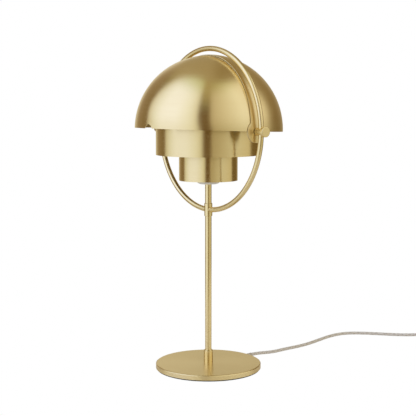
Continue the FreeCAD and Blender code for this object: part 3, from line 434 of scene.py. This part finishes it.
def woven_strap(turn):
    """Woven polyamide tape: ribs of thread across it, 0.8 mm apart and drawn at 1.2 mm."""
    made, tree, shader, spot = new_finish("woven_tape", Sheen_Weight=0.15)
    laid = add(tree, "ShaderNodeMapping", {"Vector": spot},
               {"Rotation": (0, 0, -turn)}).outputs["Vector"]
    ribs = add(tree, "ShaderNodeTexWave", {"Vector": laid},
               {"Scale": 1 / TAPE_RIB / WAVE_STEP * 2 * math.pi, "Distortion": 1.0},
               bands_direction="Y").outputs["Fac"]
    colour = add(tree, "ShaderNodeMix", {SHARE: ribs},
                 {FIRST: linear("#6E675C"), SECOND: linear("#98907F")}, data_type="RGBA")
    rough = add(tree, "ShaderNodeMapRange", {"Value": ribs}, {"To Min": 0.75, "To Max": 0.95})
    bump = add(tree, "ShaderNodeBump", {"Height": ribs},
               {"Strength": 0.5, "Distance": 0.15 * MM})
    wear(tree, shader, colour.outputs[MIXED], rough.outputs["Result"], bump.outputs["Normal"])
    return made


felt = wool_felt()
textile = braided_textile()
tape = woven_strap(HEADING)
# Each plastic with its pale and dark tone, its roughness and its grain
white_plastic = moulded_plastic("white_moulded_plastic", "#F2F0EB", "#E6E3DC", 0.36, 0.9 * MM)
taupe_plastic = moulded_plastic("taupe_moulded_plastic", "#B0A493", "#A09483", 0.5, 0.8 * MM)
soft_plastic = moulded_plastic("taupe_soft_plastic", "#CBC2B5", "#BDB3A5", 0.62, 0.8 * MM)
brown_nylon = moulded_plastic("brown_nylon", "#6A5232", "#574226", 0.5, 0.8 * MM)
# Each plated metal with its pale and dark tone, its roughness and its clouds
zinc = plated_metal("zinc_plated_steel", "#CDCFCF", "#B3B6B8", 0.36, 7 * MM)
nickel = plated_metal("nickel_plated_brass", "#DED8CC", "#CBC4B6", 0.2, 10 * MM)
cap_metal = plated_metal("drawn_aluminium_cap", "#D6D7D8", "#BFC0C2", 0.3, 8 * MM)

DRESSED = [
    (base_brass, ["base_plate"]),
    (tube_brass, ["foot_collar", "stem_tube", "hoop_cross"]),
    (drum_brass, ["middle_drum", "lower_drum", "upper_drum"]),
    (front_brass, ["front_shade"]),
    (rear_brass, ["rear_shade"]),
    (hoop_brass, ["hoop_ring"]),
    (pivot_brass, ["pivot_bush_right", "pivot_bush_left", "pivot_knob_right", "pivot_knob_left"]),
    (brown_nylon, ["outer_washers"]),
    (zinc, ["pivot_axle_right", "pivot_axle_left", "pivot_nuts", "inner_washers", "lower_spider",
            "upper_spider", "switch_screws"]),
    (white_plastic, ["holder_cap", "holder_body", "shade_ring_lower", "shade_ring_upper"]),
    (steatite(), ["holder_insert"]),
    (nickel, ["holder_thread", "holder_contact", "plug_pins"]),
    (opal_glass(), ["bulb_globe"]),
    (cap_metal, ["bulb_cap", "bulb_contact"]),
    (lead_plastic(), ["inner_leads"]),
    (soft_plastic, ["cord_gland", "plug_relief"]),
    (taupe_plastic, ["switch_base", "switch_cover", "switch_rocker", "plug_body"]),
    (textile, ["cord_run", "cord_tail", "cord_coil"]),
    (felt, ["base_pad"]),
    (tape, ["cord_tie"]),
]
for finish, names in DRESSED:
    for name in names:
        nodes[name].data.materials.clear()
        nodes[name].data.materials.append(finish)


# ---- Felt under the base ---------------------------------------------------------------------

FELT_RADIUS = 80.5 * MM
FELT_THICKNESS = 2 * MM
FELT_ROUNDING = 0.4 * MM
SLOT_HALF = 3.2 * MM
SLOT_START = 70 * MM
# The rim's edges are those whose faces turn by more than this
RIM_TURN = 1.0
# The slot's two sides and its inner end, each as a point and the way across the cut
SLOT_CUTS = [
    ((-SLOT_HALF, 0, 0), (1, 0, 0)),
    ((SLOT_HALF, 0, 0), (1, 0, 0)),
    ((0, SLOT_START, 0), (0, 1, 0)),
]
toward_exit = Matrix.Rotation(EXIT_TURN, 4, "Z")

bm = bmesh.new()
bmesh.ops.create_circle(bm, cap_ends=True, segments=144, radius=FELT_RADIUS)
for point, normal in SLOT_CUTS:
    bmesh.ops.bisect_plane(bm, geom=bm.verts[:] + bm.edges[:] + bm.faces[:],
                           plane_co=toward_exit @ Vector(point),
                           plane_no=toward_exit @ Vector(normal))
slot_faces = []
for face in bm.faces:
    middle = toward_exit.inverted() @ face.calc_center_median()
    if abs(middle.x) < SLOT_HALF and middle.y > SLOT_START:
        slot_faces.append(face)
bmesh.ops.delete(bm, geom=slot_faces, context="FACES")
raised = bmesh.ops.extrude_face_region(bm, geom=bm.faces[:])["geom"]
bmesh.ops.translate(bm, vec=(0, 0, FELT_THICKNESS),
                    verts=[v for v in raised if isinstance(v, bmesh.types.BMVert)])
rims = [e for e in bm.edges if len(e.link_faces) == 2 and e.calc_face_angle() > RIM_TURN]
bmesh.ops.bevel(bm, geom=rims, offset=FELT_ROUNDING, segments=2, profile=0.5, affect="EDGES",
                material=-1)
felt_disc = finish_piece("felt_disc", bm, felt, "base_pad")


# ---- Tape round the coil ---------------------------------------------------------------------

TAPE_INNER = 16.55 * MM
TAPE_OUTER = 43.9 * MM
TAPE_WIDTH = 10 * MM
TAPE_HEIGHT = 13.6 * MM
TAPE_THICKNESS = 1 * MM
TAPE_CORNER = 3.4 * MM
FLAP_OFFSET = 2 * MM
FLAP_LENGTH = 13 * MM
FLAP_THICKNESS = 0.7 * MM
FLAP_ROUNDING = 0.25 * MM
round_coil = Matrix.Translation(COIL_CENTRE * MM) @ Matrix.Rotation(HEADING, 4, "Z")
tape_middle = round_coil @ Matrix.Translation(((TAPE_INNER + TAPE_OUTER) / 2, 0, TAPE_HEIGHT / 2))
tape_size = Matrix.Diagonal((TAPE_OUTER - TAPE_INNER, TAPE_WIDTH, TAPE_HEIGHT, 1))
flap_middle = tape_middle @ Matrix.Translation(
    (FLAP_OFFSET, 0, TAPE_HEIGHT / 2 + FLAP_THICKNESS / 2))
flap_size = Matrix.Diagonal((FLAP_LENGTH, TAPE_WIDTH, FLAP_THICKNESS, 1))

bm = bmesh.new()
bmesh.ops.create_cube(bm, size=1, matrix=tape_middle @ tape_size)
across_tape = (tape_middle @ Vector((0, 1, 0)) - tape_middle @ Vector((0, 0, 0))).normalized()
open_ends = [f for f in bm.faces if abs(f.normal.dot(across_tape)) > 0.9]
bmesh.ops.delete(bm, geom=open_ends, context="FACES_ONLY")
corners = [e for e in bm.edges if len(e.link_faces) == 2]
bmesh.ops.bevel(bm, geom=corners, offset=TAPE_CORNER, segments=5, profile=0.5, affect="EDGES",
                material=-1)
bmesh.ops.recalc_face_normals(bm, faces=bm.faces[:])
bmesh.ops.solidify(bm, geom=bm.faces[:], thickness=TAPE_THICKNESS)
flap = bmesh.ops.create_cube(bm, size=1, matrix=flap_middle @ flap_size)["verts"]
flap_edges = list({e for v in flap for e in v.link_edges})
bmesh.ops.bevel(bm, geom=flap_edges, offset=FLAP_ROUNDING, segments=2, profile=0.5,
                affect="EDGES", material=-1)
coil_tape = finish_piece("coil_tape", bm, tape, "cord_tie")


# ---- Cord in place ---------------------------------------------------------------------------

cord = bpy.data.objects.new("flex_cord", cord_line)
bpy.context.scene.collection.objects.link(cord)
cord_line.materials.append(textile)
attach(cord, "stand")
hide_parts("cord_run", "cord_tail", "cord_coil")


# ---- Floor -----------------------------------------------------------------------------------

FLOOR_RADIUS = 0.75
FLOOR_CENTRE = (0.05, 0.2, 0)
WHITE = (1, 1, 1, 1)


def white_floor():
    """Painted floor: plain white where the camera sees it, and where the brass mirrors it a pale warm
    satin that also glows a little."""
    made = bpy.data.materials.new("white_floor")
    made.use_nodes = True
    tree = made.node_tree
    tree.nodes.clear()
    satin = add(tree, "ShaderNodeBsdfPrincipled",
                values={"Base Color": linear("#D2CCBE"), "Roughness": 0.25, "IOR": 1.65,
                        "Emission Color": WHITE, "Emission Strength": 0.19})
    plain = add(tree, "ShaderNodeEmission", values={"Color": WHITE, "Strength": 1.0})
    seen = add(tree, "ShaderNodeLightPath").outputs["Is Camera Ray"]
    both = add(tree, "ShaderNodeMixShader",
               {0: seen, 1: satin.outputs["BSDF"], 2: plain.outputs["Emission"]})
    add(tree, "ShaderNodeOutputMaterial", {"Surface": both.outputs["Shader"]})
    return made


floor_mesh = bpy.data.meshes.new("floor")
bm = bmesh.new()
bmesh.ops.create_circle(bm, cap_ends=True, segments=96, radius=FLOOR_RADIUS,
                        matrix=Matrix.Translation(FLOOR_CENTRE))
bm.to_mesh(floor_mesh)
bm.free()
floor = bpy.data.objects.new("floor", floor_mesh)
bpy.context.scene.collection.objects.link(floor)
floor_mesh.materials.append(white_floor())


# ---- Light -----------------------------------------------------------------------------------

# The studio, by the angle round the lamp from the camera: a large key light at the left, a softer one
# at the right, a dark gap between them behind the camera, dark sides and a pale wall behind.
STUDIO = [
    (-180, (0.9, 0.89, 0.74)), (-158, (0.70, 0.63, 0.51)), (-141, (0.36, 0.28, 0.19)),
    (-110, (0.235, 0.165, 0.08)), (-106, (0.76, 0.75, 0.73)), (-92, (0.97, 1.06, 1.30)),
    (-76, (1.10, 1.21, 1.68)), (-48, (1.10, 1.21, 1.68)), (-26, (1.00, 1.08, 1.28)),
    (-13.5, (0.86, 0.87, 0.86)), (-8.8, (0.15, 0.085, 0.02)), (6, (0.15, 0.085, 0.02)),
    (9, (0.60, 0.53, 0.40)), (33, (0.78, 0.74, 0.64)), (58, (0.97, 0.98, 0.97)),
    (80, (0.95, 0.93, 0.86)), (102, (0.92, 0.86, 0.72)), (107.5, (0.245, 0.17, 0.065)),
    (138, (0.25, 0.17, 0.075)), (160, (0.60, 0.52, 0.38)), (180, (0.9, 0.89, 0.74)),
]
# A ramp's colours stop at 1, so the studio's are divided by this and its light multiplied by it
HEAD_ROOM = 2.0

# How the studio changes, in smooth steps: the measure that a step goes by, where it starts and ends on
# that measure, and the value before and after it. The measures are parts of the way one looks, from
# -1 to 1: up, across to the right, and aside from where the ceiling hangs lowest.
STEPS = {
    # The lights stand further apart higher up
    "spread": ("up", 0.0, 0.4, 1.0, 0.93),
    # They lean: the dark gap between them drifts to the left as it rises
    "lean": ("up", -0.1, 0.25, 0.0, 0.096),
    # They fade towards the floor, the right one more
    "risen": ("up", -0.25, 0.4, 0.0, 1.0),
    "right_light": ("across", -0.1, 0.35, 0.0, 1.0),
    # Their upper ends fade too, and grow warmer
    "tall": ("up", 0.79, 1.0, 0.0, 1.0),
    # A haze lightens what is dark higher up
    "hazy": ("up", 0.25, 0.95, 0.0, 1.0),
    # The ceiling hangs lower between the lights than over them, and is darker at the right
    "sag": ("aside", 0.05, 0.5, 0.05, -0.07),
    "right_roof": ("across", 0.0, 0.25, 0.0, 1.0),
}
SAG_MIDDLE = 0.12
FOOT_LEFT = (0.83, 0.80, 0.65, 1)
FOOT_RIGHT = (0.62, 0.59, 0.45, 1)
UPPER_TINT = (0.62, 0.63, 0.35, 1)
HAZE = (0.44, 0.37, 0.19)
ROOF_LEFT = (0.41, 0.34, 0.22, 1)
ROOF_RIGHT = (0.31, 0.235, 0.12, 1)
ROOF_EDGE = 0.72
ROOF_FULL = 0.86
RIGHT = (math.cos(azimuth), math.sin(azimuth), 0)
TOWARD = (math.sin(azimuth), -math.cos(azimuth), 0)
# The ceiling is dim, and reaches lower at the back than at the front, where the lights stand. This is
# its middle, as parts up, back and to the right.
CEILING_UP, CEILING_BACK, CEILING_RIGHT = 0.866, 0.5, 0.06
CEILING = (Vector((0, 0, CEILING_UP)) - Vector(TOWARD) * CEILING_BACK
           + Vector(RIGHT) * CEILING_RIGHT).normalized()


def dimmed(colour):
    """A colour of the studio, divided by the head room that its light gives back."""
    return [c / HEAD_ROOM for c in colour]


def studio():
    """The room that the brass mirrors, drawn by the way one looks from the lamp. Where the camera sees
    it, it is plain white."""
    made = bpy.data.worlds.new("studio")
    made.use_nodes = True
    tree = made.node_tree
    tree.nodes.clear()
    way = add(tree, "ShaderNodeTexCoord").outputs["Generated"]
    up = add(tree, "ShaderNodeSeparateXYZ", {0: way}).outputs["Z"]
    across, near, flat = [
        add(tree, "ShaderNodeVectorMath", {0: way}, {1: toward},
            operation="DOT_PRODUCT").outputs["Value"]
        for toward in (RIGHT, TOWARD, CEILING)]
    apart = add(tree, "ShaderNodeMath", {0: across}, {1: SAG_MIDDLE},
                operation="SUBTRACT").outputs["Value"]
    aside = add(tree, "ShaderNodeMath", {0: apart}, operation="ABSOLUTE").outputs["Value"]
    measures = {"up": up, "across": across, "aside": aside}
    steps = {}
    for name, (measure, start, end, before, after) in STEPS.items():
        steps[name] = add(tree, "ShaderNodeMapRange", {"Value": measures[measure]},
                          {"From Min": start, "From Max": end, "To Min": before, "To Max": after},
                          interpolation_type="SMOOTHSTEP").outputs["Result"]

    bearing = add(tree, "ShaderNodeMath", {0: across, 1: near},
                  operation="ARCTAN2").outputs["Value"]
    ahead = add(tree, "ShaderNodeMath", {0: near}, {1: 0.0}, operation="MAXIMUM").outputs["Value"]
    drift = add(tree, "ShaderNodeMath", {0: steps["lean"], 1: ahead},
                operation="MULTIPLY").outputs["Value"]
    leant = add(tree, "ShaderNodeMath", {0: bearing, 1: steps["spread"], 2: drift},
                operation="MULTIPLY_ADD").outputs["Value"]
    share = add(tree, "ShaderNodeMapRange", {"Value": leant},
                {"From Min": -math.pi, "From Max": math.pi}).outputs["Result"]
    walls = add(tree, "ShaderNodeValToRGB", {"Fac": share})
    stops = walls.color_ramp.elements
    for _ in range(len(STUDIO) - len(stops)):
        stops.new(0.5)
    for stop, (angle, _) in zip(stops, STUDIO):
        stop.position = (angle + 180) / 360
    for stop, (_, colour) in zip(stops, STUDIO):
        stop.color = dimmed(colour) + [1]

    foot = add(tree, "ShaderNodeMix", {SHARE: steps["right_light"]},
               {FIRST: FOOT_LEFT, SECOND: FOOT_RIGHT}, data_type="RGBA").outputs[MIXED]
    rise = add(tree, "ShaderNodeMix", {SHARE: steps["risen"], FIRST: foot}, {SECOND: WHITE},
               data_type="RGBA").outputs[MIXED]
    tint = add(tree, "ShaderNodeMix", {SHARE: steps["tall"]},
               {FIRST: WHITE, SECOND: UPPER_TINT}, data_type="RGBA").outputs[MIXED]
    lower = add(tree, "ShaderNodeVectorMath", {0: walls.outputs["Color"], 1: rise},
                operation="MULTIPLY").outputs["Vector"]
    faded = add(tree, "ShaderNodeVectorMath", {0: lower, 1: tint},
                operation="MULTIPLY").outputs["Vector"]
    haze = add(tree, "ShaderNodeVectorMath", {"Scale": steps["hazy"]}, {0: dimmed(HAZE)},
               operation="SCALE").outputs["Vector"]
    sides = add(tree, "ShaderNodeVectorMath", {0: faded, 1: haze},
                operation="MAXIMUM").outputs["Vector"]
    over = add(tree, "ShaderNodeMath", {0: flat, 1: steps["sag"]},
               operation="ADD").outputs["Value"]
    covered = add(tree, "ShaderNodeMapRange", {"Value": over},
                  {"From Min": ROOF_EDGE, "From Max": ROOF_FULL},
                  interpolation_type="SMOOTHSTEP").outputs["Result"]
    roof = add(tree, "ShaderNodeMix", {SHARE: steps["right_roof"]},
               {FIRST: dimmed(ROOF_LEFT), SECOND: dimmed(ROOF_RIGHT)},
               data_type="RGBA").outputs[MIXED]
    room = add(tree, "ShaderNodeMix", {SHARE: covered, FIRST: sides, SECOND: roof},
               data_type="RGBA").outputs[MIXED]

    glow = add(tree, "ShaderNodeBackground", {"Color": room}, {"Strength": HEAD_ROOM})
    plain = add(tree, "ShaderNodeBackground", values={"Color": WHITE, "Strength": 1.0})
    seen = add(tree, "ShaderNodeLightPath").outputs["Is Camera Ray"]
    both = add(tree, "ShaderNodeMixShader",
               {0: seen, 1: glow.outputs["Background"], 2: plain.outputs["Background"]})
    add(tree, "ShaderNodeOutputWorld", {"Surface": both.outputs["Shader"]})
    return made


bpy.context.scene.world = studio()
bpy.context.scene.view_settings.view_transform = "Standard"
bpy.context.scene.view_settings.look = "None"
